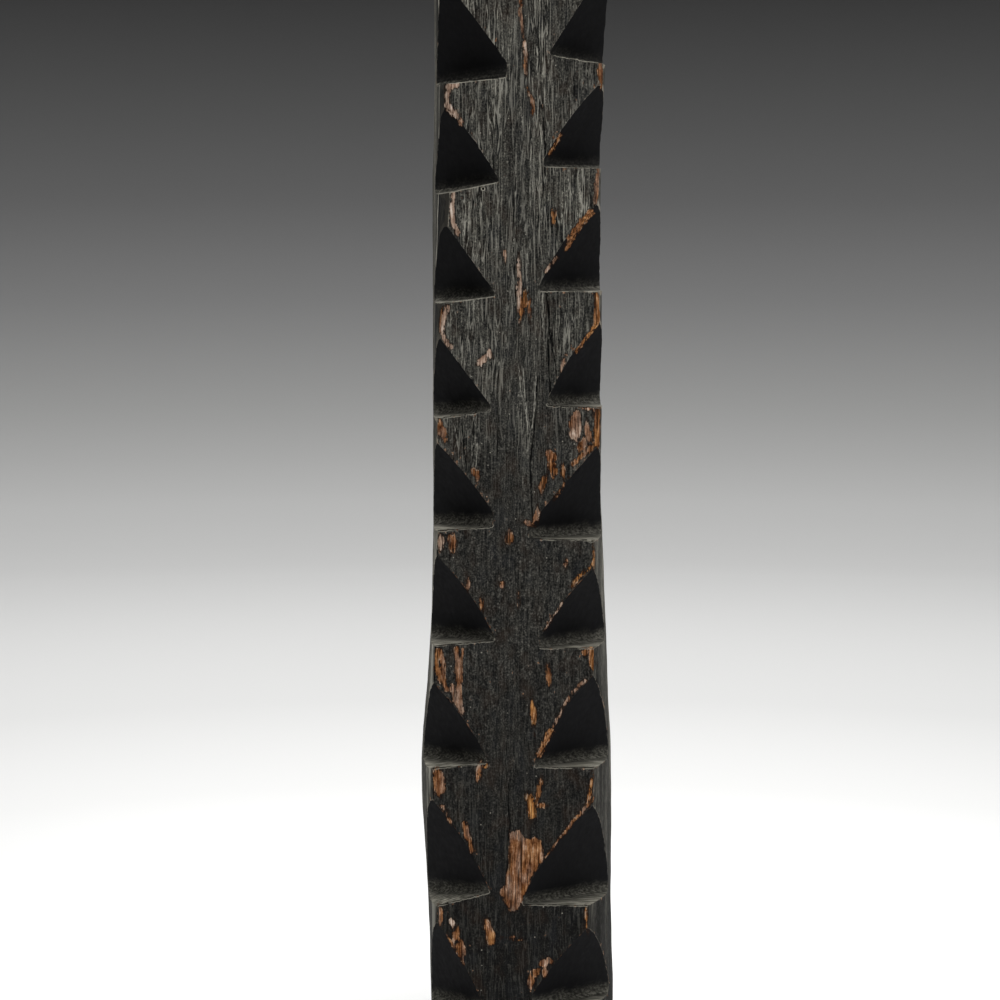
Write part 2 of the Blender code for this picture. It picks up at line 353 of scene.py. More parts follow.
# Where the smoke-black crust has chipped off to bare wood: across, up, half width, half height,
# lean in degrees, and tone from pale (-1) over brown (0) to ochre (1). All in mm.
chips = (
    (-68, 1095, 2.8, 5, 30, -0.3),
    (95, 1149, 4.4, 14, 4, 0.2), (41, 987, 3.4, 8, 0, 0.2), (-17, 939, 1.8, 7, 0, 0.0),
    (-42, 816, 9, 4.8, 24, -0.7), (-34, 822, 4.6, 4.6, 30, -0.5),
    (0, 897, 2.5, 33, 0, -0.9), (4, 882, 4.4, 15, -6, 0.3), (12, 877, 2.2, 10, 0, -0.2),
    (66, 739, 8.0, 18, -4, -0.4), (82, 728, 4.4, 16, 8, -0.1), (74, 716, 6.0, 7, -30, -0.1),
    (38, 704, 7.6, 7, 0, 0.1), (39, 690, 5.0, 10, 8, 0.2), (52, 687, 3.0, 8, 0, 0.4),
    (28, 671, 4.0, 10, -18, 0.2), (21, 635, 4.4, 11, -8, -0.1), (13, 622, 6.0, 3.6, -24, -0.1),
    (-10, 608, 5.0, 7, -20, 0.2), (-92, 732, 5.4, 13, 20, 0.0), (-51, 683, 4.0, 7, 0, -0.3),
    (-92, 603, 4.0, 10, 0, -0.6), (-79, 602, 5.4, 11, 0, 0.2), (-60, 552, 2.6, 7, 0, -0.3),
    (-44, 528, 2.4, 7, 0, 0.4), (56, 575, 2.4, 6, 0, 0.0), (89, 584, 2.2, 14, 2, 0.7),
    (-20, 552, 4, 5, 0, 0.0), (-1, 534, 1.4, 6, 0, 0.0), (79, 470, 4.2, 5, 0, 0.1),
    (35, 442, 3.8, 12, 0, 0.2), (17, 395, 3.6, 16, 4, 0.6),
    (87, 462, 4.4, 13, 8, 0.5), (-95, 313, 7.6, 18, 8, 0.1), (-41, 334, 4.0, 4, 0, 0.9),
    (-48, 323, 2.6, 8, 0, -0.1), (-80, 143, 4.4, 4.4, -30, -1.0),
    (-46, 327, 3.0, 10, 6, 0.0), (24, 302, 3.2, 15, -8, 0.2), (15, 286, 5.2, 16, 8, 1.6),
    (27, 285, 7, 3.6, -14, 0.3), (86, 306, 2.6, 17, -8, 0.6), (-94, 153, 3.0, 11, 0, 0.0),
    (-75, 131, 5.0, 12, 0, 0.0), (-70, 110, 5.4, 11, 10, 0.1), (-37, 133, 4.4, 16, 10, 0.2),
    (-33, 124, 4.6, 8, 0, 0.5), (82, 148, 1.8, 12, 4, 0.7), (20, 82, 5, 5, 20, 0.1),
    (29, 91, 6, 4.4, 20, -0.2), (38, 95, 4, 4, 0, 0.2), (31, 80, 4, 5, 0, 0.0),
    (16, 70, 4.6, 6, 0, 0.2), (-6, 124, 9, 1.6, 0, 0.3),
)

# Bare strips along the edges and the grain: half width, tone, and points across and up in mm.
strips = (
    (1.3, -0.1, ((7, 1148), (8, 1170), (4, 1196), (1, 1221), (4, 1262))),
    (1.1, 0.0, ((15, 1102), (14, 1120), (8, 1135))),
    (1.5, -0.8, ((-66, 1094), (-74, 1102), (-82, 1110))),
    (2.2, -0.9, ((-73, 964), (-77, 978), (-79, 992), (-77, 1014))),
    (3.2, -1.0, ((-75, 1103), (-82, 1109), (-85, 1115), (-84, 1125), (-82, 1135), (-74, 1138))),
    (2.4, -0.7, ((-80, 832), (-86, 839), (-90, 846), (-89, 857), (-88, 869), (-85, 878))),
    (1.8, 0.0, ((-93, 849), (-93, 862), (-90, 878))),
    (2.4, -0.2, ((90, 1002), (92, 1039))), (1.3, 0.2, ((34, 1055), (50, 1079))),
    (3.2, 0.3, ((57, 948), (64, 963), (73, 977), (85, 988))), (1.4, -0.4, ((31, 920), (44, 936))),
    (2.6, 0.4, ((92, 860), (92, 894))), (2.2, 0.6, ((68, 826), (83, 846), (91, 858))),
    (1.2, -0.3, ((48, 803), (56, 823))), (3.6, 0.3, ((93, 717), (93, 758))),
    (1.6, -0.2, ((75, 760), (92, 759))), (2.2, 0.2, ((64, 694), (75, 704), (90, 719))),
    (1.2, -0.2, ((42, 652), (58, 678))), (1.6, 0.6, ((62, 548), (70, 559), (87, 574))),
    (0.9, -0.4, ((30, 496), (51, 529))), (1.3, -0.3, ((41, 381), (64, 422), (80, 437))),
    (2.3, 0.2, ((-92, 435), (-97, 455), (-98, 472))),
    (2.1, 0.0, ((-85, 425), (-90, 443), (-90, 461), (-94, 472))),
    (2.6, -0.2, ((-71, 413), (-72, 455), (-75, 474))), (1.7, -0.2, ((-68, 437), (-69, 461), (-66, 473))),
    (3.0, -0.4, ((-68, 399), (-75, 413), (-79, 428))),
    (3.2, 0.4, ((24, 347), (29, 357), (38, 374))), (1.6, 0.0, ((49, 244), (67, 268), (90, 293))),
    (1.0, 0.0, ((31, 222), (49, 244))), (2.4, 0.0, ((-56, 230), (-61, 247), (-66, 264))),
    (1.4, 0.0, ((-92, 286), (-80, 262))), (1.3, 0.2, ((-84, 124), (-66, 92))),
)

# The largest chipped patch, as its outline across and up the face in mm.
greatChip = (
    (-10, 255), (1, 254), (9, 247), (18, 246), (27, 241), (31, 229), (28, 218), (19, 203), (12, 188),
    (5, 171), (-2, 158), (-9, 158), (-16, 165), (-21, 177), (-16, 191), (-13, 210), (-12, 232),
)


# How far inside a closed outline each point is, in mm, and negative outside it.
def outlineDepth(x, z, outline):
    inside = np.zeros(len(x), bool)
    for (x0, z0), (x1, z1) in zip(outline, outline[1:] + outline[:1]):
        crosses = (z0 > z) != (z1 > z)
        at = x0 + (z - z0) * (x1 - x0) / (z1 - z0 if z1 != z0 else 1)
        inside ^= crosses & (x < at)
    gap = lineGap(x, z, outline + outline[:1])
    return np.where(inside, gap, -gap)


# How far inside the bare wood each point is, in mm, and its tone. Negative is outside.
def bareDepths(points, noise):
    s = timberSurface
    strayX = points[:, 0] + s["chipStray"][0] * noise["chipAcross"]
    strayZ = points[:, 2] + s["chipStray"][1] * noise["chipUp"]
    ragged = (1 - s["chipFlakes"]) * noise["fringe"] + s["chipFlakes"] * noise["chipEdge"]
    bare = outlineDepth(strayX, strayZ, greatChip) + ragged * s["chipRag"]
    tone = np.full(len(points), s["greatTone"])
    for across, up, halfWidth, halfHeight, lean, hue in chips:
        turn = math.radians(lean)
        u = (strayX - across) * math.cos(turn) + (strayZ - up) * math.sin(turn)
        v = -(strayX - across) * math.sin(turn) + (strayZ - up) * math.cos(turn)
        size = min(halfWidth, halfHeight)
        field = (1 - np.hypot(u / halfWidth, v / halfHeight)) * size
        field += ragged * min(size, s["ragSize"]) * s["smallRag"]
        tone = np.where(field > bare, hue, tone)
        bare = np.maximum(bare, field)
    for halfWidth, hue, path in strips:
        reach = halfWidth * (s["stripFull"] + s["stripRag"] * ragged)
        field = reach - lineGap(strayX, points[:, 2], path)
        tone = np.where(field > bare, hue, tone)
        bare = np.maximum(bare, field)
    return bare, tone + s["toneStray"] * noise["chipTone"]


# How far across from the nearest seam each point is, in half widths, how pale (above 0) or dark
# that seam is there, and the height that it gives the surface in mm.
def seamFields(points, grain, noise):
    s = timberSurface
    strayX = (1 - s["seamFollow"]) * points[:, 0] + s["seamFollow"] * grain[:, 0]
    fade = smoothStep(*s["seamFade"], noise["seamFade"])
    splitFade = s["seamLeast"] + (1 - s["seamLeast"]) * fade
    across, kind, rises = (np.zeros(len(points)) for i in range(3))
    nearest = np.full(len(points), float(s["seamFar"]))
    for sign, halfWidth, rise, path in seams:
        gap = lineGap(strayX, points[:, 2], path)
        offset = strayX - np.interp(points[:, 2], [z for x, z in path], [x for x, z in path])
        strength = sign * (fade if sign > 0 else splitFade)
        closer = gap < nearest
        across = np.where(closer, offset / halfWidth, across)
        kind = np.where(closer, strength * np.clip(s["seamReach"] - gap, 0, 1), kind)
        shoulder = np.clip(s["seamShoulder"] - gap / halfWidth, 0, 1)
        rises = np.where(closer, strength * rise * shoulder, rises)
        nearest = np.minimum(gap, nearest)
    return across, kind, rises


# How much of each surface meets at each point, as shares of 1.
def zoneShares(bm, zone):
    shares = np.zeros((len(bm.verts), end + 1))
    for face in bm.faces:
        area = face.calc_area()
        for vert in face.verts:
            shares[vert.index, face[zone]] += area
    return shares / np.maximum(shares.sum(1, keepdims=True), 1e-12)


# Each surface's height in mm, as it was worked: open or crusted grain on the face, chisel cuts in
# the notches, adze hollows round the back, and a sawn end.
def workedHeights(points, shares, noise, upper, openGrain, ridge, seamRise):
    s = timberSurface
    crust = (noise["scab"] + noise["grit"]) / 2
    cuts = {name: toolScallops(points, *s[name]) - s["toolMiddle"]
            for name in ("facetCut", "ledgeCut", "adzeCut")}
    heights = np.zeros_like(shares)
    heights[:, front] = s["grainRise"] * openGrain * ridge + s["boardRise"] * noise["broad"]
    heights[:, front] += s["crustRise"] * (1 - upper) * crust + seamRise
    heights[:, facet] = s["toolRise"] * cuts["facetCut"] + s["facetGrain"] * noise["fine"]
    heights[:, ledge] = s["toolRise"] * cuts["ledgeCut"] + s["ledgeGrit"] * crust
    heights[:, skin] = s["hewnRise"] * cuts["adzeCut"] + s["hewnGrain"] * ridge
    heights[:, end] = s["sawRise"] * (noise["sawLine"] - 1)
    return (shares * heights).sum(1)


# Grey dust lies on the ledges and reaches a little way up the facets. It is thinned towards the back of
# each ledge as painted shade under the facet above.
def dustAndShadeShare(points, shares, noise, rootGap):
    s = timberSurface
    dustLine = rootGap + s["dustStray"] * noise["dustEdge"]
    onLedge = shares[:, ledge] / np.maximum(shares[:, ledge] + shares[:, facet], 1e-6)
    least, reach = s["ledgeDustShade"]
    dust = onLedge * (least + (1 - least) * smoothStep(0, reach, dustLine))
    below, above = s["footDust"]
    footDust = below - (below - above) * smoothStep(*s["footDustUp"], points[:, 2])
    return dust + (1 - onLedge) * footDust * (1 - smoothStep(0, s["footDustReach"], dustLine))


# Soot and painted shade on the left side, and how pale (above 0) or dark the wood is there, from wear and
# a painted highlight.
def leftWearShadeAndHighlight(points, shares, noise, back, arrisGap):
    s = timberSurface["leftEdge"]
    left, height = points[:, 0] < 0, points[:, 2]
    chamfer = left * smoothStep(0, s["fade"], height - s["above"])
    gap = back - np.interp(height, s["up"], s["back"])
    gap -= s["stray"] * noise["chamferEdge"]
    behind = smoothStep(*s["behindFrom"], gap) * (1 - smoothStep(*s["behindTo"], gap))
    # The band of soot and painted shade, and more of it behind the pale line.
    soot = chamfer * smoothStep(*s["sootEdge"], gap) * s["soot"] + chamfer * behind * s["sootBehind"]
    # The pale line is a painted highlight.
    paleHighlight = np.clip(s["lineStrength"] - np.abs(gap - s["lineBack"]) / s["lineWidth"], 0, 1)
    paleHighlight *= chamfer * (s["lineLeast"] + (1 - s["lineLeast"]) * smoothStep(*s["lineUp"], height))
    lowLeft = left * smoothStep(*s["rubbedBelow"], height)
    bands = 1 - s["bandStray"] + s["bandStray"] * noise["rubbed"]
    bands *= smoothStep(*s["rubbedFrom"], back) * (1 - smoothStep(*s["rubbedTo"], back))
    worn = (paleHighlight + lowLeft * bands) * (1 - s["wornStray"] + s["wornStray"] * noise["broad"])
    worn = np.where(shares[:, skin] > 0.5, worn, 0)
    darkLine = (shares[:, front] > 0.5) * (arrisGap < s["darkLine"])
    return soot, worn - s["darkness"] * lowLeft * darkLine


# Moves every point of the mesh to its place on the worn, hewn and smoked surface, and returns
# what the material needs to know there.
def shapeSurface(bm, zone, trees):
    s = timberSurface
    bm.verts.index_update()
    bm.normal_update()
    points = np.array([v.co for v in bm.verts]) / mm
    normals = np.array([v.normal for v in bm.verts])
    shares = zoneShares(bm, zone)
    gaps = {kind: np.array([tree.find(v.co)[2] for v in bm.verts]) / mm for kind, tree in trees.items()}
    edgeGap = np.minimum(np.minimum(gaps["rim"], gaps["slope"]), gaps["arris"])
    upper = smoothStep(s["crustBelow"], s["openAbove"], points[:, 2])
    back = points[:, 1] - cadBox[0].y / mm

    # The grain runs up the post and strays a little.
    noise = {name: cellNoise(points, *plan) for name, plan in s["overTimber"].items()}
    grain = points.copy()
    grain[:, 0] += s["grainWander"] * noise["wander"]
    grain[:, 0] += s["grainStray"] * noise["stray"]
    noise.update({name: cellNoise(grain, *plan) for name, plan in s["alongGrain"].items()})
    patchy = smoothStep(*s["patchFade"], noise["patch"])
    openGrain = upper * (s["grainLeast"] + (1 - s["grainLeast"]) * patchy) + s["grainBelow"] * (1 - upper)
    furrow = np.clip(1 - np.abs(noise["medium"]) * s["furrowNarrow"], 0, 1) ** 2
    furrow *= s["furrowLeast"] + (1 - s["furrowLeast"]) * patchy
    ridge = s["fineRidge"] * noise["fine"] + s["mediumRidge"] * noise["medium"] - s["furrow"] * furrow

    bare, tone = bareDepths(points, noise)
    bare = np.where(back < s["chipBack"], bare, -9.0)  # far outside, so nowhere bare
    chipped = smoothStep(*s["chipFade"], bare)
    chipDepth = s["chipDepth"] + s["chipMiddle"] * smoothStep(*s["chipIn"], bare)
    chipDepth += s["chipGrain"] * np.clip(-noise["fine"], -s["grainUp"], 1)
    seamAcross, seamKind, seamRise = seamFields(points, grain, noise)
    seamKind = np.where(shares[:, front] > 0, seamKind, 0)

    uneven = s["swellRise"] * noise["swell"] + s["dipRise"] * noise["dip"]
    height = workedHeights(points, shares, noise, upper, openGrain, ridge, seamRise) - chipped * chipDepth
    height += (uneven - s["sunk"]) * (1 - shares[:, end])
    # Edges are worn back, more in some places, and nicked.
    nick = smoothStep(*s["nickFrom"], noise["nick"])
    nearEdge = np.clip(1 - edgeGap / s["wearReach"], 0, 1) ** 2
    height -= (s["edgeWear"] + s["wearStray"] * noise["wear"]) * nearEdge
    height -= s["nickWear"] * nick * np.clip(1 - edgeGap / s["nickReach"], 0, 1) ** 2

    moved = points + normals * height[:, None]
    low, high = (np.array(corner) / mm for corner in cadBox)
    atFoot = (shares[:, end] > 0) & (points[:, 2] < 1)  # the underside stays flat
    moved[atFoot, 2] = low[2]
    moved = np.clip(moved, low, high)
    for vert, place in zip(bm.verts, moved * mm):
        vert.co = place
    soot, worn = leftWearShadeAndHighlight(points, shares, noise, back, gaps["arris"])
    return {
        "rimGap": gaps["rim"], "slopeGap": gaps["slope"], "arrisGap": gaps["arris"],
        "bare": bare, "bareTone": tone, "seamAcross": seamAcross, "seamKind": seamKind,
        "ridge": ridge, "openGrain": openGrain, "worn": worn, "soot": soot,
        "dust": dustAndShadeShare(points, shares, noise, gaps["root"]),
        "nearFront": 1 - smoothStep(*s["besideFront"], back), "stray": grain[:, 0] - points[:, 0],
    }


def buildPost():
    node = bpy.data.objects["house_post"]
    bm = bmesh.new()
    bm.from_mesh(node.data)
    zone = bm.faces.layers.int.new("zone")
    bmesh.ops.remove_doubles(bm, verts=bm.verts, dist=postMesh["weld"] * mm)
    bm.normal_update()
    markZones(bm, zone)
    trees = edgeTrees(bm, zone)
    same = [e for e in bm.edges if len({f[zone] for f in e.link_faces}) == 1]
    flat = math.radians(postMesh["flatAngle"])
    bmesh.ops.dissolve_limit(bm, angle_limit=flat, verts=[], edges=same)
    slicePost(bm, zone)
    fields = shapeSurface(bm, zone, trees)
    bmesh.ops.triangulate(bm, faces=bm.faces, quad_method="SHORT_EDGE")
    crease = math.radians(postMesh["creaseAngle"])
    for edge in bm.edges:
        kinds = {facet if f[zone] == ledge else f[zone] for f in edge.link_faces}
        edge.smooth = len(kinds) == 1 and edge.calc_face_angle(0) < crease
    for face in bm.faces:
        face.smooth = True
    zones = np.array([f[zone] for f in bm.faces])
    mesh = bpy.data.meshes.new("carved_post")
    bm.to_mesh(mesh)
    bm.free()
    mesh.attributes.remove(mesh.attributes["zone"])
    for name, values in fields.items():
        mesh.attributes.new(name, "FLOAT", "POINT").data.foreach_set("value", values)
    for name, kinds in (("notchFace", (facet, ledge)), ("skinFace", (skin,)), ("endFace", (end,))):
        mesh.attributes.new(name, "FLOAT", "FACE").data.foreach_set("value", np.isin(zones, kinds) * 1.0)
    post = bpy.data.objects.new("carved_post", mesh)
    bpy.context.scene.collection.objects.link(post)
    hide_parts("house_post")
    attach(post, "root")
    print("stage: post surface,", len(mesh.polygons), "faces")
    return post


# Sets the stops of a colour ramp to these places and tones.
def setTones(ramp, stops):
    for at, tone in stops[2:]:
        ramp.elements.new(at)
    for element, (at, tone) in zip(ramp.elements, stops):
        element.position, element.color = at, linearColour(tone)


# Adds one node, sets its inputs to values or links, and returns one of its outputs.
def addNode(tree, kind, inputs=None, output=0, **settings):
    node = tree.nodes.new("ShaderNode" + kind)
    for name, value in settings.items():
        setattr(node, name, value)
    for name, value in (inputs or {}).items():
        if isinstance(value, bpy.types.NodeSocket):
            tree.links.new(value, node.inputs[name])
        else:
            node.inputs[name].default_value = value
    return node.outputs[output]


# Tropical hardwood, hewn and carved, then blackened by years of hearth smoke. The soot lies as a
# dull, gritty crust on the lower face and as flat black in the notches. Where the crust is thin the
# raised grain rubs grey, with a painted highlight on its crests, and where it has chipped off the wood
# shows brown or ochre.
smokedHardwood = {
    # What the post's mesh knows at each point or face. Gaps and depths are in mm.
    "fields": (
        "rimGap", "slopeGap", "arrisGap", "bare", "bareTone", "seamAcross", "seamKind", "worn",
        "ridge", "openGrain", "dust", "soot", "nearFront", "stray",
        "notchFace", "skinFace", "endFace",
    ),
    # Sizes of the patterns in mm: across, into and along the grain, then detail, roughness and how
    # far their lines waver.
    # The wood's own vessels are 0.2 mm wide, so streak and fibre are drawn coarser to show.
    "patterns": {
        "streak": ((1.2, 1.2, 7), 3, 0.6, 0.4), "thread": ((1.8, 1.8, 44), 2, 0.5, 0.7),
        "granule": ((1.9, 1.9, 2.3), 2, 0.6, 0), "fibre": ((1.8, 1.8, 20), 2, 0.6, 0.3),
        "flake": ((5, 5, 8), 2, 0.6, 0), "blotch": ((17, 17, 28), 2, 0.5, 0),
        "stroke": ((26, 2.4, 2.4), 2, 0.6, 0), "drift": ((24, 24, 260), 2, 0.6, 0.3),
        "vein": ((4.6, 4.6, 70), 2, 0.5, 0.3),
    },
    # Growth rings, drawn coarser than the real 2 mm, lie round the pith on the sawn ends, and
    # splits run out from it.
    "pith": (-14, 18), "ringSpacing": 6, "ringWaver": 7, "splitsPerTurn": 22,
    # Small pale specks lie all over the front.
    "speckSpacing": 11, "speckRadius": 0.75,
    # A small curl of wood stands up at one ledge, this far across and up, drawn in colour alone, with a
    # painted shadow in its middle and a painted highlight round its lower rim. Its gaps are in radii.
    "curl": (-42.3, 1016.6), "curlRadius": 2.3,
    # Weighted sums of patterns, for the tones to follow.
    "blends": {
        # The open grain's blend takes in the relief's ridges, so their crests are paler: a painted
        # highlight.
        "openGrainHighlightBlend": (("streak", 0.3), ("thread", 0.3), ("granule", 0.4), ("ridge", 0.08)),
        "crustBlend": (("granule", 0.5), ("flake", 0.35), ("thread", 0.15)),
        "sideBlend": (("streak", 0.3), ("thread", 0.25), ("drift", 0.45)),
        "woodBlend": (("fibre", 0.5), ("flake", 0.2), ("granule", 0.15), ("blotch", 0.15)),
        "endBlend": (("rings", 0.14), ("thread", 0.46), ("drift", 0.4)),
    },
    # Values worked out from others, in order: a name, an operation, and the values it works on. A
    # range goes from its third number to its fourth as its value goes from the first to the second.
    "steps": (
        ("onTimber", "SUBTRACT", 1, "notchFace"),
        ("onFront", "SUBTRACT", "onTimber", "skinFace"),
        ("onFront", "SUBTRACT", "onFront", "endFace"),
        # How far each point is from the middle of a seam, a pale or dark vein, or a split.
        ("seamOut", "SUBTRACT", "seamAcross", 1.5),
        ("seamOut", "MULTIPLY_ADD", "flake", 3, "seamOut"),
        ("seamOut", "ABSOLUTE", "seamOut"),
        ("paleVein", "SUBTRACT", "vein", 0.5),
        ("paleVein", "ABSOLUTE", "paleVein"),
        ("darkVein", "SUBTRACT", "vein", 0.56),
        ("darkVein", "ABSOLUTE", "darkVein"),
        ("splitOut", "SUBTRACT", "wedge", 0.5),
        ("splitOut", "ABSOLUTE", "splitOut"),
        # Below eye level a painted shadow shows under each ledge's front edge, with a painted highlight
        # on the worn edge beneath it.
        ("belowEye", "range", "height", 900, 840, 0, 1),
        ("underRim", "MULTIPLY_ADD", "flake", 3, -0.1),
        ("underRim", "MULTIPLY", "underRim", "belowEye"),
        ("underRim", "SUBTRACT", "underRim", "rimGap"),
        ("rimOut", "ADD", "underRim", 0.7),
        ("rimOut", "ABSOLUTE", "rimOut"),
        # Lines along the edges are of a width that varies with the flaking.
        ("slopeIn", "MULTIPLY_ADD", "flake", 9, -4),
        ("slopeIn", "SUBTRACT", "slopeIn", "slopeGap"),
        # A side is seen almost edge on from in front, so the pale line along its worn edge, a painted
        # highlight, is drawn wider there.
        ("widened", "range", "height", 700, 800, 0, -5),
        ("widened", "MULTIPLY", "widened", "skinFace"),
        ("widened", "MULTIPLY_ADD", "widened", "nearFront", "arrisGap"),
        ("arrisIn", "MULTIPLY_ADD", "flake", 5, -1.1),
        ("arrisIn", "SUBTRACT", "arrisIn", "widened"),
        # Bare wood ends in fibres and keeps scraps of crust.
        ("rag", "range", "fibre", 0.3, 0.7, -0.8, 0.7),
        ("scrap", "range", "flake", 0.33, 0.5, -1.7, 0.4),
        ("bareDepth", "ADD", "bare", "rag"),
        ("bareDepth", "ADD", "bareDepth", "scrap"),
        ("onBare", "range", "bareDepth", 0, 0.4, 0, 1),
        # Small brown chips gather along the edges.
        ("edgeGap", "MINIMUM", "arrisGap", "rimGap"),
        ("edgeGap", "MINIMUM", "slopeGap", "edgeGap"),
        ("nearEdge", "range", "edgeGap", 9, 0, 0, 0.14),
        ("brownChip", "ADD", "flake", "nearEdge"),
        ("curlOut", "SUBTRACT", "curlGap", 1),
        ("curlOut", "ABSOLUTE", "curlOut"),
        ("roughness", "range", "flake", 0.3, 0.7, 0.6, 0.8),
        ("relief", "range", "notchFace", 0, 1, 0.8, 0.25),
    ),
    # Tones from the hollows of a pattern to its crests.
    "tones": {
        # The palest tones of the open grain are weathered grey with a painted highlight.
        "openTones": ("openGrainHighlightBlend", (
            (0.37, "#111110"), (0.43, "#2b2a28"), (0.5, "#484742"), (0.57, "#6b6961"), (0.66, "#aca99d"),
        )),
        "crustTones": ("crustBlend", (
            (0.38, "#0d0d0d"), (0.46, "#1f1f1e"), (0.54, "#343330"), (0.64, "#5f5d58"),
        )),
        "sideTones": ("sideBlend", (
            (0.4, "#161615"), (0.47, "#383733"), (0.54, "#5a5852"), (0.63, "#939085"),
        )),
        "dustTones": ("stroke", ((0.34, "#3d3b35"), (0.5, "#6a685e"), (0.66, "#a29e92"))),
        "endTones": ("endBlend", (
            (0.38, "#1d1914"), (0.46, "#332b22"), (0.54, "#483d31"), (0.64, "#655949"),
        )),
        "paleTones": ("woodBlend", (
            (0.38, "#57443a"), (0.45, "#8c7565"), (0.52, "#b69e8c"), (0.59, "#d9c6b6"), (0.68, "#f4ebe3"),
        )),
        "brownTones": ("woodBlend", (
            (0.38, "#2a1409"), (0.45, "#5b3721"), (0.52, "#82583b"), (0.59, "#aa7f61"), (0.68, "#dec4ac"),
        )),
        "ochreTones": ("woodBlend", (
            (0.38, "#40220b"), (0.45, "#7f4f27"), (0.52, "#aa7340"), (0.59, "#c9955b"), (0.68, "#e8c89c"),
        )),
    },
    "colours": {
        # The pale seam colour serves pale grain and wear, with a painted highlight in it.
        "soot": "#151516", "crack": "#080808", "seamPale": "#b9b6aa", "deepCrust": "#101010",
        "warmHint": "#33271f", "coolHint": "#26282b", "charred": "#22140c", "lipPale": "#c4ac95",
        # A painted shadow under each ledge's front edge, and painted highlights along the worn ledge
        # edges and corners.
        "rimDark": "#0c0b0a", "rimPale": "#a5a194", "arrisPale": "#8d877b", "slopeGrey": "#7f7c73",
        "slopeBrown": "#6d4d38", "speck": "#b3afa3",
    },
    # Coats of colour laid over a first one. Each covers what is under it by the product of its
    # values. A value may be given as a range, which goes from 0 to 1 unless two more numbers follow.
    "coats": {
        "slopeTone": ("slopeBrown", (("slopeGrey", ("height", 600, 800)),)),
        # Dust over the soot in the notches, thinned to a painted shade at the back of each ledge.
        "notchTone": ("soot", (("dustTones", "dust"),)),
        "woodTone": ("brownTones", (
            ("ochreTones", ("bareTone", 0, 1)),
            ("charred", ("thread", 0.48, 0.4, 0, 0.85)),
            ("paleTones", ("bareTone", 0, -1)),
            ("charred", ("bareDepth", 1.6, 0, 0, 0.5)),
            ("lipPale", ("bareDepth", 1.3, 0.6), ("flake", 0.56, 0.64, 0, 0.6)),
        )),
        "surface": ("crustTones", (
            ("openTones", "openGrain"),
            ("deepCrust", ("height", 500, 150, 0, 0.7)),
            ("warmHint", ("blotch", 0.52, 0.72, 0, 0.4)),
            ("coolHint", ("blotch", 0.46, 0.3, 0, 0.35)),
            ("sideTones", "skinFace"),
            ("deepCrust", ("height", 500, 100, 0, 0.75), "skinFace"),
            ("endTones", "endFace"),
            ("crack", ("splitOut", 0.018, 0.005, 0, 0.9), ("drift", 0.49, 0.52), "endFace"),
            ("brownTones", ("brownChip", 0.73, 0.78, 0, 0.7), "onTimber"),
            ("notchTone", "notchFace"),
            # Pale wear low on the left side, and a painted highlight line higher up.
            ("seamPale", ("worn", 0.25, 0.8, 0, 0.9)),
            # Pale raised lines of grain with a painted highlight, then dark splits.
            ("seamPale", ("seamOut", 1.1, 0.4), ("streak", 0.4, 0.6, 0, 0.75), ("seamKind", 0.2, 0.7)),
            ("crack", ("seamOut", 1.1, 0.4), ("seamKind", -0.2, -0.5)),
            ("seamPale", ("paleVein", 0.03, 0.01, 0, 0.5), "openGrain", "onFront"),
            ("crack", ("darkVein", 0.03, 0.01, 0, 0.75), "openGrain", "onFront"),
            # A painted highlight along the worn corners of the front and sides, fainter low down.
            ("arrisPale", ("arrisIn", 0, 0.7, 0, 0.8), ("height", 200, 600, 0.4, 1), "onTimber"),
            # A band of soot and painted shade along the left side.
            ("soot", "soot", "skinFace"),
            ("slopeTone", ("slopeIn", 0, 0.8, 0, 0.75), "onFront"),
            ("speck", ("speckGap", 1.3, 0.6, 0, 0.7), ("speckChance", 0.6, 0.62), "onFront"),
            ("charred", ("bareDepth", -1.8, -0.1, 0, 0.75)),
            ("woodTone", "onBare"),
            ("crack", ("worn", -0.25, -0.75)),
            # A painted highlight along each ledge's worn front edge, and a painted shadow under it.
            ("rimPale", ("rimOut", 0.9, 0.4), ("height", 840, 900, 0.5, 0.85), ("stroke", 0.42, 0.5),
             "onFront"),
            ("rimDark", ("underRim", 0, 0.7, 0, 0.95), "onFront"),
            # The curl's painted shadow in its middle, and its painted highlight round the lower rim.
            ("crack", ("curlGap", 1, 0.5)),
            ("rimPale", ("curlOut", 0.28, 0.14), ("curlRise", 0.78, 0.26, 0, 0.9)),
        )),
    },
    "reliefDepth": 0.8, "specular": 0.04,
}


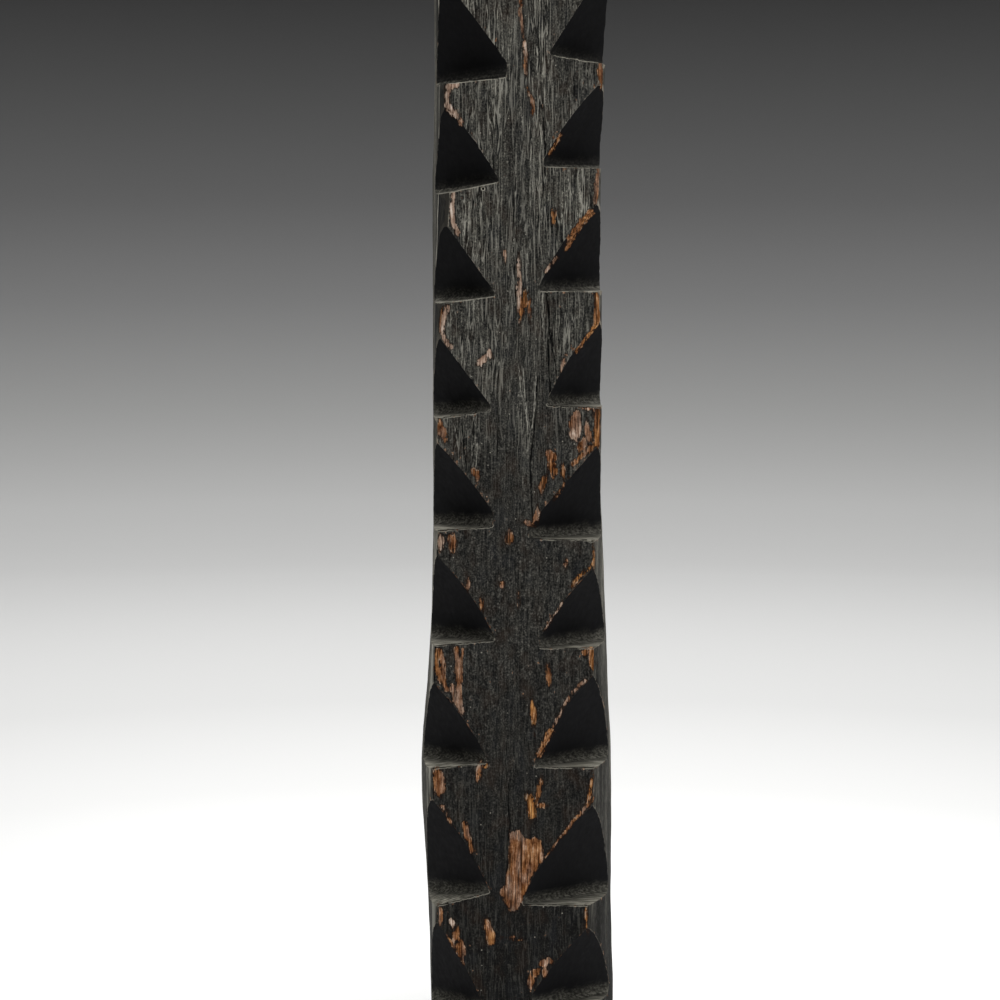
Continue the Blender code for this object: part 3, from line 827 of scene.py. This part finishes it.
def hardwoodMaterial():
    s = smokedHardwood
    material = bpy.data.materials.new("smokedHardwood")
    material.use_nodes = True
    tree = material.node_tree
    tree.nodes.clear()
    add = partial(addNode, tree)

    value = {name: add("Attribute", attribute_name=name, output=2) for name in s["fields"]}
    place = add("TexCoord", output=3)
    place = add("VectorMath", {0: place, "Scale": 1 / mm}, operation="SCALE")
    value["height"] = add("SeparateXYZ", {0: place}, output=2)
    alongGrain = add("CombineXYZ", {"X": value["stray"]})
    alongGrain = add("VectorMath", {0: place, 1: alongGrain}, operation="ADD")
    for name, (cell, detail, roughness, waver) in s["patterns"].items():
        spot = add("VectorMath", {0: alongGrain, 1: cell}, operation="DIVIDE")
        value[name] = add("TexNoise", {
            "Vector": spot, "Scale": 1, "Detail": detail, "Roughness": roughness, "Distortion": waver})

    fromPith = add("VectorMath", {0: place, 1: (*s["pith"], 0)}, operation="SUBTRACT")
    fromPith = add("VectorMath", {0: fromPith, 1: (1, 1, 0)}, operation="MULTIPLY")
    value["rings"] = add("TexWave", {
        "Vector": fromPith, "Scale": math.pi / 10 / s["ringSpacing"],  # ten rings are pi wide at scale 1
        "Distortion": s["ringWaver"], "Detail": 3, "Detail Scale": 0.8,
    }, output=1, wave_type="RINGS", rings_direction="Z")
    outward = add("VectorMath", {0: fromPith}, operation="NORMALIZE")
    value["wedge"] = add("TexNoise", {
        "Vector": outward, "Scale": s["splitsPerTurn"] / (2 * math.pi), "Detail": 1})

    specks = add("VectorMath", {0: place, "Scale": 1 / s["speckSpacing"]}, operation="SCALE")
    speckGap = add("TexVoronoi", {"Vector": specks, "Scale": 1})
    value["speckChance"] = add("SeparateColor", {0: speckGap.node.outputs[1]})
    value["speckGap"] = add("Math", {0: speckGap, 1: s["speckSpacing"] / s["speckRadius"]},
                            operation="MULTIPLY")
    curlAt = (s["curl"][0], cadBox[0].y / mm, s["curl"][1])
    fromCurl = add("VectorMath", {0: place, 1: curlAt}, operation="SUBTRACT")
    fromCurl = add("VectorMath", {0: fromCurl, "Scale": 1 / s["curlRadius"]}, operation="SCALE")
    value["curlGap"] = add("VectorMath", {0: fromCurl}, output=1, operation="LENGTH")
    value["curlRise"] = add("SeparateXYZ", {0: fromCurl}, output=2)

    for name, parts in s["blends"].items():
        value[name] = 0.0
        for pattern, weight in parts:
            value[name] = add("Math", {0: value[pattern], 1: weight, 2: value[name]},
                              operation="MULTIPLY_ADD")
    for name, operation, *inputs in s["steps"]:
        inputs = {i: value.get(entry, entry) for i, entry in enumerate(inputs)}
        if operation == "range":
            value[name] = add("MapRange", inputs)
        else:
            value[name] = add("Math", inputs, operation=operation)

    colour = {name: linearColour(tone) for name, tone in s["colours"].items()}
    for name, (source, stops) in s["tones"].items():
        colour[name] = add("ValToRGB", {0: value[source]})
        setTones(colour[name].node.color_ramp, stops)
    for name, (under, coats) in s["coats"].items():
        colour[name] = colour[under]
        for over, *parts in coats:
            cover = 1.0
            for part in parts:
                if isinstance(part, str):
                    share = value[part]
                else:
                    source, low, high, bottom, top = (*part, 0, 1)[:5]
                    share = add("MapRange", {0: value[source], 1: low, 2: high, 3: bottom, 4: top})
                cover = add("Math", {0: cover, 1: share}, operation="MULTIPLY")
            colour[name] = add("Mix", {0: cover, 6: colour[name], 7: colour[over]}, output=2,
                               data_type="RGBA")

    grit = value["granule"]
    for share, pattern in (("openGrain", "openGrainHighlightBlend"), ("onBare", "fibre"), ("endFace", "endBlend")):
        grit = add("Mix", {0: value[share], 2: grit, 3: value[pattern]})
    bump = add("Bump", {
        "Height": grit, "Strength": value["relief"], "Distance": s["reliefDepth"] * mm})
    shader = add("BsdfPrincipled", {
        "Base Color": colour["surface"], "Roughness": value["roughness"], "Normal": bump,
        "Specular IOR Level": s["specular"]})
    add("OutputMaterial", {"Surface": shader}, output=slice(0, 0))
    return material


# A round paper sweep: white where the post stands, with painted shade grading it to grey where it rises
# behind.
paperSweep = {
    "floorRadius": 4.6, "riseRadius": 2.2, "top": 4.5,
    "floorSteps": 8, "riseSteps": 16, "turnSteps": 96,
    "roughness": 0.9,
    # Tones by distance out from the post and then up the rise, in metres: a painted shade, darkest at the
    # top.
    "tones": (
        (0.0, "#f6f6f5"), (1.0, "#e6e6e5"), (1.5, "#d8d8d7"), (2.4, "#cdcdcc"), (4.6, "#d4d4d3"),
        (5.5, "#c2c2c1"), (6.3, "#a1a1a0"), (7.0, "#818181"), (7.6, "#656565"), (8.6, "#393939"),
    ),
}


def buildSweep():
    s = paperSweep
    bm = bmesh.new()
    outline = [(s["floorRadius"] * i / s["floorSteps"], 0) for i in range(s["floorSteps"] + 1)]
    for i in range(1, s["riseSteps"] + 1):
        angle = math.pi / 2 * i / s["riseSteps"]
        outline.append((s["floorRadius"] + s["riseRadius"] * math.sin(angle),
                        s["riseRadius"] * (1 - math.cos(angle))))
    outline.append((s["floorRadius"] + s["riseRadius"], s["top"]))
    verts = [bm.verts.new((r, 0, z)) for r, z in outline]
    edges = [bm.edges.new(pair) for pair in zip(verts, verts[1:])]
    bmesh.ops.spin(bm, geom=[*verts, *edges], angle=2 * math.pi, steps=s["turnSteps"], axis=(0, 0, 1),
                   cent=(0, 0, 0), use_merge=True)
    bmesh.ops.remove_doubles(bm, verts=bm.verts, dist=1e-5)
    bmesh.ops.recalc_face_normals(bm, faces=bm.faces)
    for face in bm.faces:
        face.smooth = True
    mesh = bpy.data.meshes.new("paper_sweep")
    bm.to_mesh(mesh)
    bm.free()
    sweep = bpy.data.objects.new("paper_sweep", mesh)
    bpy.context.scene.collection.objects.link(sweep)
    mesh.materials.append(paperMaterial())


# Matt studio paper: its tone, a painted shade, changes with the distance out over the floor and then up
# the rise.
def paperMaterial():
    material = bpy.data.materials.new("studioPaperPaintedShade")
    material.use_nodes = True
    material.node_tree.nodes.clear()
    add = partial(addNode, material.node_tree)
    place = add("TexCoord", output=3)
    out = add("VectorMath", {0: place, 1: (1, 1, 0)}, operation="MULTIPLY")
    out = add("VectorMath", {0: out}, output=1, operation="LENGTH")
    up = add("SeparateXYZ", {0: place}, output=2)
    travelled = add("Math", {0: out, 1: up}, operation="ADD")
    longest = paperSweep["tones"][-1][0]
    paper = add("ValToRGB", {0: add("Math", {0: travelled, 1: longest}, operation="DIVIDE")})
    setTones(paper.node.color_ramp, [(at / longest, tone) for at, tone in paperSweep["tones"]])
    shader = add("BsdfPrincipled", {"Base Color": paper, "Roughness": paperSweep["roughness"]})
    add("OutputMaterial", {"Surface": shader}, output=slice(0, 0))
    return material


studio = {
    "sky": 0.25,  # strength of the white light from all round
    "lamps": (  # name, place, what it points at, width and height in metres, watts
        ("overhead_softbox", (0, 1.2, 3.8), (0, 1.2, 0), 5.0, 6.4, 300),
        ("key_softbox", (2.4, -2.2, 2.2), (0, 0, 0.62), 1.4, 1.8, 32),
        ("fill_softbox", (-2.4, -2.8, 1.6), (0, 0, 0.62), 1.4, 1.8, 3),
    ),
}


def buildLights():
    for name, place, aim, width, height, watts in studio["lamps"]:
        light = bpy.data.lights.new(name, "AREA")
        light.shape, light.size, light.size_y, light.energy = "RECTANGLE", width, height, watts
        lamp = bpy.data.objects.new(name, light)
        bpy.context.scene.collection.objects.link(lamp)
        lamp.location = place
        lamp.rotation_euler = (Vector(aim) - lamp.location).to_track_quat("-Z", "Y").to_euler()
    world = bpy.data.worlds.new("studio")
    bpy.context.scene.world = world
    world.use_nodes = True
    sky = world.node_tree.nodes["Background"]
    sky.inputs["Color"].default_value = (1, 1, 1, 1)
    sky.inputs["Strength"].default_value = studio["sky"]


view = {
    "lens": 100, "sensor": 36,  # mm
    "eyeHeight": 0.957, "distance": 3.2635, "aside": -0.0224,  # metres from the floor and the front
    "pitchDown": 5.347,  # degrees
    "nearest": 0.1, "farthest": 60,  # what the camera sees between, in metres
}


def buildCamera():
    camera = bpy.data.cameras.new("camera")
    camera.lens, camera.sensor_width = view["lens"], view["sensor"]
    camera.clip_start, camera.clip_end = view["nearest"], view["farthest"]
    eye = bpy.data.objects.new("camera", camera)
    eye.location = (view["aside"], cadBox[0].y - view["distance"], view["eyeHeight"])
    eye.rotation_euler = (math.radians(90 - view["pitchDown"]), 0, 0)
    bpy.context.scene.collection.objects.link(eye)
    bpy.context.scene.camera = eye


post = buildPost()
post.data.materials.append(hardwoodMaterial())
print("stage: material")
buildSweep()
buildLights()
buildCamera()
bpy.context.scene.view_settings.view_transform = "Standard"
print("stage: studio")
